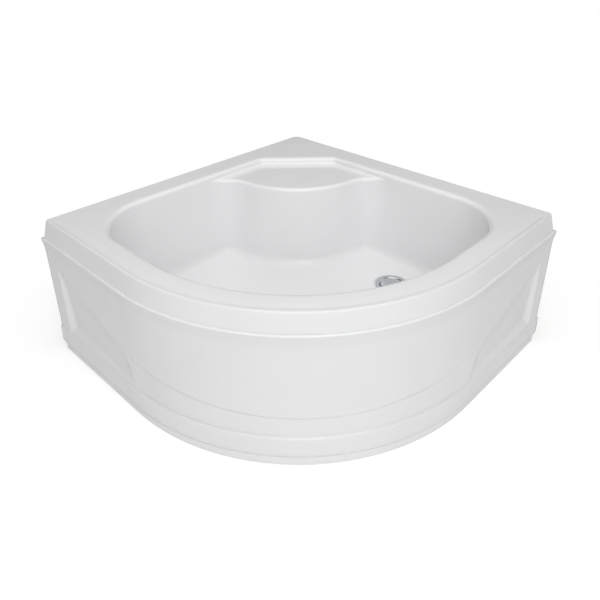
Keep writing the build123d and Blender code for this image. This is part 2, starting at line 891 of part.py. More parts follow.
def panel_body(section, shift):
    """Section swept along the front, less the recesses and the band."""
    cutters = [recess_cutter(shift), band_cutter(shift)]
    cutters.append(mirror(cutters[0], about=Plane(origin=(0, 0, 0), z_dir=side_dir)))
    with BuildPart() as body:
        with BuildSketch(path_plane()):
            add(section)
        sweep(path=front_path(panel_wall_gap))
        for cutter in cutters:
            add(cutter, mode=Mode.SUBTRACT)
    return body.part


outer_section = panel_section()
with BuildSketch() as inner:
    add(outer_section)
    offset(amount=-panel_sheet)
    with Locations((panel_return / 2 + panel_sheet, panel_floor_gap + panel_sheet)):
        Rectangle(panel_return / 2, bead_top - panel_floor_gap - 2 * panel_sheet, align=Align.MIN)
panel_outside = panel_body(outer_section, 0)
panel_inside = panel_body(inner.sketch, panel_sheet)

with BuildPart() as front_panel:
    add(panel_outside)
    add(panel_inside, mode=Mode.SUBTRACT)
finish(front_panel, "front_panel")


# Clips that carry the panel


def clip_planes():
    """A plane at each clip on the plinth line at floor level: X points inwards and Z up."""
    planes = [Plane(origin=(-half + clip_from_wall, -half, 0), x_dir=(0, 1, 0), z_dir=(0, 0, 1))]
    middle = (clip_count_on_arc - 1) / 2
    for index in range(clip_count_on_arc):
        angle = radians(-45 + (index - middle) * clip_arc_spacing)
        out = Vector(cos(angle), sin(angle), 0)
        point = Vector(arc_x, arc_y, 0) + out * front_radius
        planes.append(Plane(origin=point, x_dir=-out, z_dir=(0, 0, 1)))
    planes.append(Plane(origin=(half, half - clip_from_wall, 0), x_dir=(-1, 0, 0), z_dir=(0, 0, 1)))
    return planes


block_bottom = rim_underside - block_height
bracket_top = block_bottom
clip_slot_top = bead_top + clip_slot_gap
clip_slot_bottom = bead_top - panel_sheet - clip_slot_gap
rivet_height = clip_slot_bottom - clip_arm - clip_screw_drop / 2
clip_foot = clip_slot_bottom - clip_arm - clip_screw_drop


def clip_block(plane, number):
    """Timber block bonded under the rim, with a pilot hole."""
    with BuildPart() as piece:
        with BuildSketch(plane.offset(block_bottom)):
            with Locations((block_inset, 0)):
                Rectangle(block_depth, block_width, align=(Align.MIN, Align.CENTER))
        extrude(amount=block_height)
        with BuildSketch(plane.offset(block_bottom)):
            with Locations((bracket_inset + bracket_reach / 2, 0)):
                Circle(screw_radius)
        extrude(amount=screw_length, mode=Mode.SUBTRACT)
    finish(piece, f"clip_block_{number}")


def clip_bracket(plane, number):
    """Bent steel angle under the block, with a screw hole and a rivet hole."""
    with BuildPart() as piece:
        with BuildSketch(plane.offset(bracket_top - bracket_sheet)):
            with Locations((bracket_inset, 0)):
                Rectangle(bracket_reach, bracket_width, align=(Align.MIN, Align.CENTER))
            with Locations((bracket_inset + bracket_reach / 2, 0)):
                Circle(screw_radius, mode=Mode.SUBTRACT)
        extrude(amount=bracket_sheet)
        with BuildSketch(plane.offset(bracket_top - bracket_drop)):
            with Locations((bracket_inset, 0)):
                Rectangle(bracket_sheet, bracket_width, align=(Align.MIN, Align.CENTER))
        extrude(amount=bracket_drop)
        with BuildSketch(rivet_plane(plane)):
            Circle(rivet_radius)
        extrude(amount=bracket_inset, mode=Mode.SUBTRACT)
    finish(piece, f"clip_bracket_{number}")


def rivet_plane(plane):
    """Plane on the clip's outer face at its rivet, facing inwards."""
    point = plane.from_local_coords(Vector(bracket_inset - clip_wall, 0, rivet_height))
    return Plane(origin=point, x_dir=up_dir, z_dir=plane.x_dir)


def panel_clip(plane, number):
    """Moulded clip whose two arms hold the panel's top return."""
    arm_start = bracket_inset - clip_wall - clip_arm_reach
    with BuildPart() as piece:
        with BuildSketch(plane.offset(clip_foot)):
            with Locations((bracket_inset - clip_wall, 0)):
                Rectangle(clip_wall, clip_width, align=(Align.MIN, Align.CENTER))
        extrude(amount=clip_slot_top + clip_arm - clip_foot)
        for bottom in (clip_slot_top, clip_slot_bottom - clip_arm):
            with BuildSketch(plane.offset(bottom)):
                with Locations((arm_start, 0)):
                    Rectangle(clip_arm_reach, clip_width, align=(Align.MIN, Align.CENTER))
            extrude(amount=clip_arm)
        with BuildSketch(rivet_plane(plane)):
            Circle(rivet_radius)
        extrude(amount=clip_wall, mode=Mode.SUBTRACT)
    finish(piece, f"panel_clip_{number}")


for number, plane in enumerate(clip_planes(), 1):
    clip_block(plane, number)
    clip_bracket(plane, number)
    panel_clip(plane, number)

with BuildPart() as rivets:
    for plane in clip_planes():
        start = rivet_plane(plane)
        grip = clip_wall + bracket_sheet
        with BuildSketch(start):
            Circle(rivet_radius)
        extrude(amount=grip)
        with BuildSketch(start):
            Circle(rivet_head_radius)
        extrude(amount=-rivet_head_height)
        with BuildSketch(start.offset(grip)):
            Circle(rivet_head_radius)
        extrude(amount=rivet_head_height)
finish(rivets, "clip_rivets")

with BuildPart() as bracket_screws:
    for plane in clip_planes():
        with BuildSketch(plane.offset(bracket_top - bracket_sheet)):
            with Locations((bracket_inset + bracket_reach / 2, 0)):
                Circle(screw_head_radius)
        extrude(amount=-screw_head_height)
        with BuildSketch(plane.offset(bracket_top - bracket_sheet)):
            with Locations((bracket_inset + bracket_reach / 2, 0)):
                Circle(screw_radius)
        extrude(amount=bracket_sheet + screw_length)
finish(bracket_screws, "bracket_screws")
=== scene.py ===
import math

import bmesh
import bpy
import numpy as np
from mathutils import Matrix, Vector, geometry


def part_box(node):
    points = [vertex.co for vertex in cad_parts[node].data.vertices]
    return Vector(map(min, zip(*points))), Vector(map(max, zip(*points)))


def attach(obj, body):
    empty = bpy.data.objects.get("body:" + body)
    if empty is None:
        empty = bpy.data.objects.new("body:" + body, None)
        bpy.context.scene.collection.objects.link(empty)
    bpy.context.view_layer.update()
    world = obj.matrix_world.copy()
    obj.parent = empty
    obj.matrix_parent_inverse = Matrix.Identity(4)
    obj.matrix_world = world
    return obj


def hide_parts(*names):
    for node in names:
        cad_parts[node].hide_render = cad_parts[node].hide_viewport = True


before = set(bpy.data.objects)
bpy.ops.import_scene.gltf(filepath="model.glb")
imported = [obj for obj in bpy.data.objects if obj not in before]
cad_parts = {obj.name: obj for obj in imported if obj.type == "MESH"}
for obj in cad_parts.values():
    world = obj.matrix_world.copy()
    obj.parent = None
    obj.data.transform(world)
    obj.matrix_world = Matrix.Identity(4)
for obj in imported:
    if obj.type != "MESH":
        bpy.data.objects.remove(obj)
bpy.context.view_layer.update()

# Deep corner shower tray. Shapes are worked out in millimetres, in the frame's own axes, and made in metres.
MM = 0.001
ROOT2 = math.sqrt(2)
MERGE_DISTANCE = 2e-6


def node_box(name):
    """Lowest and highest corner of a CAD node, in millimetres."""
    low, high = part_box(name)
    return np.array(low) / MM, np.array(high) / MM


# Whole tray
TRAY_LOW, TRAY_HIGH = node_box("tray_shell")
HALF = -TRAY_LOW[0]
HEIGHT = TRAY_HIGH[2]
FRONT_RADIUS = 550.0
ARC_CENTRE = np.array([HALF - FRONT_RADIUS, FRONT_RADIUS - HALF])
CORNER_U = -HALF * ROOT2
FLAT_LENGTH = 2 * HALF - FRONT_RADIUS

# Tray moulding
SHEET = 5.0
LAMINATE = 4.0
RIM_TOP_INSET = 23.0
RIM_LIP_INSET = HALF - TRAY_HIGH[0]
LIP_DEPTH = 41.7
RIM_EDGE_RADIUS = 5.0
RIM_CORNER_RADIUS = 20.0
RIM_END_RADIUS = 8.0
LIP_EDGE_RADIUS = 0.5
RIDGE_INSET = 30.0
RIDGE_RISE = 3.0
RIDGE_FALL = 26.0
RIDGE_HEIGHT = 0.85
WALL_RIM = 74.0
FRONT_RIM = 88.0
BASIN_CORNER_RADIUS = 155.0
FLOOR = 134.0
TAPER = math.tan(math.radians(3.5))
FLOOR_RADIUS = 25.0
MOUTH_RADIUS = 14.0

# Corner seat, measured from the back corner
SEAT_DROP = 17.0
SEAT_NOSE = 413.0
SEAT_WING = 439.0
SEAT_COVE_RADIUS = 80.0
SEAT_BACK = 218.0
SEAT_SPAN = 40.0
SEAT_TURN_RADIUS = 25.0
SEAT_EDGE_RADIUS = 9.0
SEAT_WALL_RADIUS = 4.5

# Waste
FLANGE_LOW, FLANGE_HIGH = node_box("waste_flange")
WASTE = (FLANGE_LOW[:2] + FLANGE_HIGH[:2]) / 2
WASTE_HOLE_RADIUS = 31.0
DISH_RADIUS = 48.0
DISH_DEPTH = 3.0
WELL_RADIUS = 39.0
WELL_DEPTH = 8.0

# Front panel
PANEL_LOW, PANEL_HIGH = node_box("front_panel")
PANEL_SHEET = 3.5
PANEL_RETURN = 29.5
PANEL_TOP = PANEL_HIGH[2]
PANEL_FOOT = PANEL_LOW[2]
PANEL_WALL_GAP = 0.5
BEAD_RADIUS = 5.0
BEAD_INSET = 4.0
BEAD_ROLL = 3.2
BEAD_TURN = 10.0
COVE = 36.0
COVE_BLEND = 16.0
FACE_TOP_INSET = 8.0
FACE_FOOT_INSET = 5.0
PLINTH_TOP = 79.0
PLINTH_TOP_INSET = 0.8
PLINTH_LEDGE = 4.0
PLINTH_BELLY = 45.0
PLINTH_CURL_INSET = 5.5
TOE_HEIGHT = 24.0
TOE_INSET = 6.0
TOE_NOTCH = 0.5
RECESS_START = 50.0
RECESS_END = FLAT_LENGTH - 5.0
RECESS_TOP = 194.0
RECESS_END_TOP = 86.0
RECESS_DEPTH = 12.0
RECESS_TOP_DEPTH = 5.5
RECESS_END_DEPTH = 3.0
BAND_DEPTH = 3.0
BAND_STEP = 1.0
CREASE_WIDTH = 5.0
CREASE_DEPTH = 2.8
BAND_RUN = 60.0
CREASE_RUN = 10.0
RECESS_END_TURN = 48.0
RECESS_END_DROP = 40.0
BAND_START = FLAT_LENGTH - 12.0
CREASE_HEIGHT = 135.0
CREASE_RADIUS = 2150.0
FACE_FOOT = PLINTH_TOP + PLINTH_LEDGE
FACE_TOP = PANEL_TOP - 2 * BEAD_RADIUS - COVE
SKIN_GAP = 0.1


# Mesh tools


def make_piece(name, points, faces, body, slot, *nodes):
    """Makes a closed smooth mesh of points in millimetres, which rides on a body and stands for CAD nodes."""
    mesh = bpy.data.meshes.new(name)
    mesh.from_pydata((np.asarray(points) * MM).tolist(), [], faces)
    shell = bmesh.new()
    shell.from_mesh(mesh)
    bmesh.ops.remove_doubles(shell, verts=shell.verts, dist=MERGE_DISTANCE)
    bmesh.ops.recalc_face_normals(shell, faces=shell.faces)
    shell.to_mesh(mesh)
    shell.free()
    mesh.shade_smooth()
    mesh.materials.append(MATERIALS[slot])
    piece = bpy.data.objects.new(name, mesh)
    bpy.context.scene.collection.objects.link(piece)
    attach(piece, body)
    if nodes:
        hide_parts(*nodes)
    return piece


def ring_faces(rows, count, first=0, closed=False):
    """Quads between neighbouring rows of points that each run once round; closed joins the last row to the first."""
    row, place = np.meshgrid(np.arange(rows if closed else rows - 1), np.arange(count), indexing="ij")
    after = (row + 1) % rows
    beside = (place + 1) % count
    quads = [row * count + place, after * count + place, after * count + beside, row * count + beside]
    return (first + np.stack(quads, axis=-1)).reshape(-1, 4).tolist()


def rounded(corners, radii, steps=6, support=0.0):
    """Profile through corners: each inner corner becomes an arc of its radius, written as a rational quadratic
    with the corner as its middle control point, and support adds a point just outside each arc."""
    corners = np.asarray(corners, float)
    along = np.linspace(0, 1, steps)[:, None]
    points = [corners[0]]
    for before, corner, after, radius in zip(corners, corners[1:], corners[2:], radii):
        back, on = before - corner, after - corner
        back_length, on_length = np.linalg.norm(back), np.linalg.norm(on)
        back, on = back / back_length, on / on_length
        half_turn = math.acos(max(-1.0, min(1.0, -float(back @ on)))) / 2
        reach = min(radius * math.tan(half_turn), 0.45 * back_length, 0.45 * on_length)
        weight = 2 * math.cos(half_turn) * along * (1 - along)
        ends = (1 - along) ** 2 * (corner + back * reach) + along**2 * (corner + on * reach)
        arc = (ends + weight * corner) / ((1 - along) ** 2 + weight + along**2)
        if support:
            arc = np.vstack([
                corner + back * min(reach + support, 0.48 * back_length),
                arc,
                corner + on * min(reach + support, 0.48 * on_length),
            ])
        points.extend(arc)
    points.append(corners[-1])
    return np.array(points)


def revolve(name, profile, count, body, slot, *nodes, closed=True):
    """Surface of revolution about the waste's axis: x and y are the axis plus the profile's radius times the
    cosine and sine of the turn, and z is the profile's height."""
    turn = np.linspace(0, math.tau, count, endpoint=False)
    radius, height = profile[:, :1], profile[:, 1:]
    x = WASTE[0] + radius * np.cos(turn)
    y = WASTE[1] + radius * np.sin(turn)
    points = np.stack([x, y, np.broadcast_to(height, x.shape)], axis=-1).reshape(-1, 3)
    return make_piece(name, points, ring_faces(len(profile), count, closed=closed), body, slot, *nodes)


# Materials


def srgb(code):
    """Linear colour of an sRGB hex value."""
    values = [int(code[place : place + 2], 16) / 255 for place in (1, 3, 5)]
    return [v / 12.92 if v <= 0.04045 else ((v + 0.055) / 1.055) ** 2.4 for v in values] + [1.0]


def add(tree, kind, links=None, sockets=None, **settings):
    """Adds a shader node, with its settings, its constant sockets and its links by socket name."""
    item = tree.nodes.new("ShaderNode" + kind)
    for key, value in settings.items():
        setattr(item, key, value)
    for key, value in (sockets or {}).items():
        item.inputs[key].default_value = value
    for key, source in (links or {}).items():
        tree.links.new(source, item.inputs[key])
    return item


def new_material(name, sockets):
    """An empty material with its shader and an object space position socket."""
    material = bpy.data.materials.new(name)
    material.use_nodes = True
    tree = material.node_tree
    tree.nodes.clear()
    shader = add(tree, "BsdfPrincipled", sockets=sockets)
    output = add(tree, "OutputMaterial")
    tree.links.new(shader.outputs[0], output.inputs[0])
    place = add(tree, "TexCoord").outputs["Object"]
    return material, tree, shader, place


def noise(tree, place, size, detail=2.0, distortion=0.0):
    """Noise whose features are about size millimetres across."""
    sockets = {"Scale": 1 / (size * MM), "Detail": detail, "Distortion": distortion}
    return add(tree, "TexNoise", {"Vector": place}, sockets).outputs[0]


def ramp(tree, factor, low, high, dark, light):
    """Colour between two hex values as factor goes from low to high."""
    item = add(tree, "ValToRGB", {"Fac": factor})
    item.color_ramp.elements[0].position = low
    item.color_ramp.elements[0].color = srgb(dark)
    item.color_ramp.elements[1].position = high
    item.color_ramp.elements[1].color = srgb(light)
    return item.outputs[0]


def spread(tree, factor, low, high):
    """Value from low to high as factor goes from 0.25 to 0.75."""
    sockets = {"From Min": 0.25, "From Max": 0.75, "To Min": low, "To Max": high}
    return add(tree, "MapRange", {"Value": factor}, sockets).outputs[0]


def finish(tree, shader, colour, roughness, height=None, depth=0.1, strength=1.0):
    """Links colour, roughness and a relief of depth millimetres to the shader."""
    tree.links.new(colour, shader.inputs["Base Color"])
    tree.links.new(roughness, shader.inputs["Roughness"])
    if height is not None:
        sockets = {"Strength": strength, "Distance": depth * MM}
        bump = add(tree, "Bump", {"Height": height}, sockets)
        tree.links.new(bump.outputs[0], shader.inputs["Normal"])


def gloss_acrylic(name, dark, light, wave):
    """White cast acrylic sheet, vacuum formed: glossy, very even, with the faint long waves of a formed sheet."""
    material, tree, shader, place = new_material(name, {"IOR": 1.49})
    clouds = noise(tree, place, 220, 3.0)
    colour = ramp(tree, clouds, 0.3, 0.7, dark, light)
    haze = noise(tree, place, 35, 4.0)
    finish(tree, shader, colour, spread(tree, haze, 0.04, 0.07), noise(tree, place, wave, 1.0), 0.06)
    return material


def chopped_strand():
    """Sprayed glass fibre in polyester resin: pale straw colour, matted short strands, satin and uneven."""
    material, tree, shader, place = new_material("sprayed_glass_fibre_resin", {"IOR": 1.54})
    strands = add(tree, "TexVoronoi", {"Vector": place}, {"Scale": 1 / (6 * MM)}, feature="DISTANCE_TO_EDGE")
    mat = noise(tree, place, 9, 6.0, 2.5)
    mixed = add(tree, "Math", {0: strands.outputs[0], 1: mat}, operation="ADD").outputs[0]
    colour = ramp(tree, mixed, 0.35, 0.85, "#A8A077", "#D9D5BB")
    finish(tree, shader, colour, spread(tree, mat, 0.35, 0.6), mixed, 0.8)
    return material


def chipboard():
    """Wood chipboard: flakes a few millimetres across in several browns, matt and slightly rough."""
    material, tree, shader, place = new_material("raw_chipboard", {"IOR": 1.5})
    flakes = add(tree, "TexVoronoi", {"Vector": place}, {"Scale": 1 / (4 * MM), "Randomness": 1.0})
    split = add(tree, "SeparateColor", {0: flakes.outputs["Color"]}).outputs[0]
    colour = ramp(tree, split, 0.1, 0.9, "#8A6A43", "#C9A878")
    dust = noise(tree, place, 2, 4.0)
    finish(tree, shader, colour, spread(tree, dust, 0.7, 0.9), split, 0.25)
    return material


def softwood():
    """Planed softwood: pale rings about 4 mm apart, drawn out along the length, matt."""
    material, tree, shader, place = new_material("planed_softwood", {"IOR": 1.5})
    fine = noise(tree, place, 1.5, 3.0)
    rings = add(
        tree, "TexWave", {"Vector": place}, {"Scale": 1 / (26 * MM), "Distortion": 5.0, "Detail": 3.0, "Detail Scale": 0.6},
        bands_direction="Z",
    ).outputs["Fac"]
    colour = ramp(tree, rings, 0.1, 0.95, "#D9B988", "#B98F58")
    finish(tree, shader, colour, spread(tree, fine, 0.6, 0.8), rings, 0.15)
    return material


def coated_steel(name, dark, light, spangle, low, high):
    """Zinc on steel: crystals of the coating in slightly different greys and glosses."""
    material, tree, shader, place = new_material(name, {"Metallic": 1.0})
    crystals = add(tree, "TexVoronoi", {"Vector": place}, {"Scale": 1 / (spangle * MM)})
    shade = add(tree, "SeparateColor", {0: crystals.outputs["Color"]}).outputs[0]
    colour = ramp(tree, shade, 0.0, 1.0, dark, light)
    finish(tree, shader, colour, spread(tree, shade, low, high), noise(tree, place, spangle / 3, 3.0), 0.05)
    return material


def chrome():
    """Chrome plate on brass: mirror bright and cool, with a faint wiped haze."""
    material, tree, shader, place = new_material("chrome_plate", {"Metallic": 1.0})
    haze = noise(tree, place, 12, 5.0)
    colour = ramp(tree, haze, 0.3, 0.7, "#C9CCD0", "#D6D8DB")
    finish(tree, shader, colour, spread(tree, haze, 0.12, 0.22), noise(tree, place, 18, 1.0), 0.01)
    return material


def moulded(name, dark, light, low, high, grain, depth, ior=1.5):
    """Moulded rubber or plastic: one colour with a slight mottle and a fine grain from the mould."""
    material, tree, shader, place = new_material(name, {"IOR": ior})
    mottle = noise(tree, place, 14, 3.0)
    colour = ramp(tree, mottle, 0.3, 0.7, dark, light)
    finish(tree, shader, colour, spread(tree, mottle, low, high), noise(tree, place, grain, 2.0), depth)
    return material


MATERIALS = {
    "acrylic": gloss_acrylic("gloss_white_cast_acrylic", "#EEEEEF", "#F1F1F2", 90),
    "panel_acrylic": gloss_acrylic("gloss_white_panel_acrylic", "#EEEEEF", "#F1F1F2", 110),
    "glass_fibre": chopped_strand(),
    "chipboard": chipboard(),
    "softwood": softwood(),
    "galvanised_steel": coated_steel("galvanised_steel_tube", "#8D9194", "#B4B8BB", 9, 0.32, 0.5),
    "zinc_plated": coated_steel("bright_zinc_plate", "#A9ACAE", "#C2C4C5", 2.5, 0.25, 0.38),
    "chrome": chrome(),
    "seal_rubber": moulded("black_moulded_rubber", "#141414", "#1C1C1C", 0.7, 0.85, 0.8, 0.05, 1.52),
    "black_plastic": moulded("black_moulded_nylon", "#17181A", "#202124", 0.4, 0.55, 0.9, 0.04),
    "white_plastic": moulded("white_moulded_polypropylene", "#E2E2DE", "#E8E8E4", 0.35, 0.5, 1.2, 0.03),
    "clip_plastic": moulded("natural_moulded_acetal", "#D6D5CD", "#DEDDD6", 0.3, 0.45, 1.0, 0.03, 1.48),
}


# Plan outlines


def twin(point):
    """The same plan point on the other side of the tray's diagonal."""
    return np.array([-point[1], -point[0]])


def arc(centre, radius, start, end, count, endpoint=True):
    """Points on a circle between two angles in degrees."""
    angle = np.radians(np.linspace(start, end, count, endpoint=endpoint))
    return np.asarray(centre) + radius * np.stack([np.cos(angle), np.sin(angle)], axis=1)


def line(start, end, count):
    """Even points from start up to, but not including, end."""
    start, end = np.asarray(start, float), np.asarray(end, float)
    return start + (end - start) * np.linspace(0, 1, count, endpoint=False)[:, None]


ARC_POINTS = 360
OUTLINE_POINTS = 6000


def basin_plan(inset, with_seat):
    """Closed plan outline of the basin's mouth, drawn in by inset: two front corners, the front arc, and at the
    back either the seat's wave, which is two coves and a nose, or the straight back of the seat's recess."""
    left = -HALF + WALL_RIM
    corner = np.array([left, -HALF + FRONT_RIM]) + BASIN_CORNER_RADIUS
    parts = [
        arc(corner, BASIN_CORNER_RADIUS - inset, 180, 270, ARC_POINTS),
        arc(ARC_CENTRE, FRONT_RADIUS - FRONT_RIM - inset, -90, 0, ARC_POINTS),
        arc(twin(corner), BASIN_CORNER_RADIUS - inset, 0, 90, ARC_POINTS),
    ]
    if with_seat:
        turn_x = left + SEAT_TURN_RADIUS
        turn = np.array([turn_x, turn_x - ROOT2 * (CORNER_U + SEAT_BACK + SEAT_TURN_RADIUS)])
        parts.append(arc(twin(turn), SEAT_TURN_RADIUS - inset, 90, 135, ARC_POINTS))
        parts.append(arc(turn, SEAT_TURN_RADIUS - inset, 135, 180, ARC_POINTS))
    else:
        cove = np.array([left + SEAT_COVE_RADIUS, HALF - SEAT_WING])
        back = (cove[0] - cove[1]) / ROOT2 - (CORNER_U + SEAT_NOSE)
        across = (cove[0] + cove[1]) / ROOT2
        nose_radius = (SEAT_COVE_RADIUS**2 - back**2 - across**2) / (2 * (back - SEAT_COVE_RADIUS))
        nose = np.array([1, -1]) * (CORNER_U + SEAT_NOSE - nose_radius) / ROOT2
        away = nose - twin(cove)
        meet = math.degrees(math.atan2(away[1], away[0]))
        parts.append(arc(twin(cove), SEAT_COVE_RADIUS - inset, 90, meet, ARC_POINTS))
        parts.append(arc(nose, nose_radius + inset, meet - 180, 90 - meet, ARC_POINTS))
        parts.append(arc(cove, SEAT_COVE_RADIUS - inset, 270 - meet, 180, ARC_POINTS))
    loop = np.concatenate(parts + [parts[0][:1]])
    along = np.append(0, np.cumsum(np.linalg.norm(np.diff(loop, axis=0), axis=1)))
    even = np.linspace(0, along[-1], OUTLINE_POINTS, endpoint=False)
    return np.stack([np.interp(even, along, loop[:, axis]) for axis in (0, 1)], axis=1)


def rim_plan(front_inset, wall_inset):
    """Closed plan ring of the rim, anticlockwise from the front left corner, with the same stations whatever the
    insets: end corner, flat, arc, flat, end corner, back wall, back corner and left wall."""
    wall = HALF - wall_inset
    flat = HALF - front_inset
    end = RIM_END_RADIUS
    back = max(RIM_CORNER_RADIUS - wall_inset, 1.0)
    return np.concatenate([
        arc((end - wall, end - flat), end, 180, 270, 6, False),
        line((end - wall, -flat), (ARC_CENTRE[0], -flat), 64),
        arc(ARC_CENTRE, FRONT_RADIUS - front_inset, -90, 0, 168, False),
        line((flat, ARC_CENTRE[1]), (flat, wall - end), 64),
        arc((flat - end, wall - end), end, 0, 90, 6, False),
        line((flat - end, wall), (back - wall, wall), 150),
        arc((back - wall, wall - back), back, 90, 180, 10, False),
        line((-wall, wall - back), (-wall, end - flat), 150),
    ])


MIDDLE = np.array([35.0, -35.0])
STATION_RING = rim_plan(RIM_TOP_INSET, 0.0) - MIDDLE
RAYS = np.arctan2(STATION_RING[:, 1], STATION_RING[:, 0])
STATIONS = len(RAYS)
FRONT_FIRST, FRONT_LAST = 6, 302
RIDGE_STEPS = np.array([0.85, 0.7, 0.5, 0.3, 0.15, 0.0, -0.3])
SUPPORT = 1.2


def crossings(outline):
    """Where each station's ray from the basin's middle crosses a closed outline: the distance, and by how much
    a step square to the outline is stretched along the ray, which is the root of 1 + (r' / r) squared."""
    offset = outline - MIDDLE
    turn = np.unwrap(np.arctan2(offset[:, 1], offset[:, 0]))
    reach = np.linalg.norm(offset, axis=1)
    slant = np.sqrt(1 + (np.gradient(reach, turn) / reach) ** 2)
    return [np.interp(RAYS, turn, values, period=math.tau) for values in (reach, slant)]


def on_rays(reach, height):
    """Row of points at a distance along each station's ray, at one height."""
    plan = MIDDLE + reach[:, None] * np.stack([np.cos(RAYS), np.sin(RAYS)], axis=1)
    return np.column_stack([plan, np.full(STATIONS, height)])


def part_way(start, end, reach, limit):
    """Row at a distance from start towards end, but at most limit of the way."""
    span = np.linalg.norm(end - start, axis=1)
    share = np.minimum(reach / np.maximum(span, MM), limit)
    return start + (end - start) * share[:, None]


def bend(before, corner, after, steps):
    """Rows of a rounded corner: a rational quadratic from before to after, with the corner as control row."""
    along = np.linspace(0, 1, steps)[:, None, None]
    weight = ROOT2 * along * (1 - along)
    ends = (1 - along) ** 2 * before + along**2 * after
    return list((ends + weight * corner) / ((1 - along) ** 2 + weight + along**2))


def basin_rows(grow, rim_ring=None):
    """Rows of the basin's skin, grown outwards by grow, from the rim down the mouth, over the seat and down the
    leaning wall to the floor. At a height z the outline is drawn in by the depth times the taper, less grow."""
    top = HEIGHT if grow == 0 else HEIGHT - SHEET
    shelf_height = HEIGHT - SEAT_DROP - grow
    floor_height = FLOOR - grow
    mouth_radius = MOUTH_RADIUS if grow == 0 else SHEET
    outlines = [(top, True), (shelf_height, True), (shelf_height, False), (floor_height, False)]
    found = [crossings(basin_plan((HEIGHT - z) * TAPER - grow, seat)) for z, seat in outlines]
    mouth, shelf, edge, foot = [on_rays(reach, z) for (reach, slant), (z, seat) in zip(found, outlines)]
    mouth_slant, shelf_slant, edge_slant, foot_slant = [slant for reach, slant in found]
    middle = on_rays(np.zeros(STATIONS), floor_height)
    seat_share = np.clip(np.linalg.norm(shelf - edge, axis=1) / SEAT_SPAN, 0, 1)
    rows = [mouth]
    if rim_ring is not None:
        rows = [part_way(mouth, rim_ring, mouth_radius * mouth_slant + SUPPORT, 0.9)]
        lead = part_way(mouth, rim_ring, mouth_radius * mouth_slant, 0.8)
        rows += bend(lead, mouth, part_way(mouth, shelf, mouth_radius, 0.6 - 0.18 * seat_share), 9)
    wall_radius = SEAT_WALL_RADIUS + grow
    rows += bend(
        part_way(shelf, mouth, wall_radius, 0.36), shelf, part_way(shelf, edge, wall_radius * shelf_slant, 0.45), 8
    )
    rows.append(part_way(shelf, edge, wall_radius * shelf_slant + SUPPORT, 0.48))
    rows.append(part_way(edge, shelf, SEAT_EDGE_RADIUS * edge_slant + SUPPORT, 0.48))
    wall_top = part_way(edge, foot, SEAT_EDGE_RADIUS, 0.45)
    rows += bend(part_way(edge, shelf, SEAT_EDGE_RADIUS * edge_slant, 0.45), edge, wall_top, 8)
    floor_radius = FLOOR_RADIUS + grow
    wall_end = part_way(foot, edge, floor_radius, 0.45)
    rows.append(part_way(wall_top, wall_end, SUPPORT, 0.2))
    rows += [wall_top + (wall_end - wall_top) * share for share in (0.25, 0.5, 0.75)]
    rows.append(part_way(wall_end, wall_top, SUPPORT, 0.2))
    rows += bend(wall_end, foot, part_way(foot, middle, floor_radius * foot_slant, 0.9), 12)
    rows.append(part_way(foot, middle, floor_radius * foot_slant + SUPPORT, 0.95))
    return rows


# Tray moulding and its glass fibre skin

WASTE_STEPS = 120
DISH_MARGIN = 6.0


def waste_recess(grow):
    """Half section of the dish and well round the waste's hole, grown by grow, from the floor inwards."""
    dish, well = DISH_RADIUS + grow, WELL_RADIUS + grow
    level = FLOOR - grow
    return [
        (dish + DISH_MARGIN, level),
        (dish, level),
        (dish, level - DISH_DEPTH),
        (well, level - DISH_DEPTH),
        (well, level - WELL_DEPTH),
        (WASTE_HOLE_RADIUS, level - WELL_DEPTH),
    ]


def floor_fill(ring, hole, ring_first, hole_first):
    """Triangles of the flat floor between its outline and the round edge of the waste's dish."""
    plan = np.concatenate([ring, hole])[:, :2]
    count = len(ring)
    edges = [(place, (place + 1) % count) for place in range(count)]
    edges += [(count + place, count + (place + 1) % len(hole)) for place in range(len(hole))]
    found = geometry.delaunay_2d_cdt([Vector(point) for point in plan], edges, [], 0, 1e-6)
    source = np.array([ids[0] for ids in found[3]])
    triangles = source[np.array(found[2])]
    centres = plan[triangles].mean(axis=1)
    offset, outline = centres - MIDDLE, ring[:, :2] - MIDDLE
    bearing = np.arctan2(offset[:, 1], offset[:, 0])
    reach = np.interp(bearing, RAYS, np.linalg.norm(outline, axis=1), period=math.tau)
    inside = np.linalg.norm(offset, axis=1) < reach
    outside = np.linalg.norm(centres - WASTE, axis=1) > np.linalg.norm(hole[0, :2] - WASTE) * 0.999
    triangles = triangles[inside & outside]
    return np.where(triangles < count, ring_first + triangles, hole_first + triangles - count).tolist()


def basin_shell(name, rows, inner_grow, outer_grow, slot, node):
    """Closed shell of rows from floor to floor, with both floors filled and a recess round the waste's hole."""
    recess = waste_recess(inner_grow) + waste_recess(outer_grow)[::-1]
    profile = rounded(recess, [1.2] * (len(recess) - 2), 5, 0.3)
    turn = np.linspace(0, math.tau, WASTE_STEPS, endpoint=False)
    x = WASTE[0] + profile[:, :1] * np.cos(turn)
    y = WASTE[1] + profile[:, :1] * np.sin(turn)
    grid = np.stack([x, y, np.broadcast_to(profile[:, 1:], x.shape)], axis=-1)
    wall_count = len(rows) * STATIONS
    points = np.concatenate([np.concatenate(rows), grid.reshape(-1, 3)])
    faces = ring_faces(len(rows), STATIONS) + ring_faces(len(profile), WASTE_STEPS, wall_count)
    last_ring = wall_count + (len(profile) - 1) * WASTE_STEPS
    faces += floor_fill(rows[0], grid[0], 0, wall_count)
    faces += floor_fill(rows[-1], grid[-1], wall_count - STATIONS, last_ring)
    return make_piece(name, points, faces, "tray", slot, node)


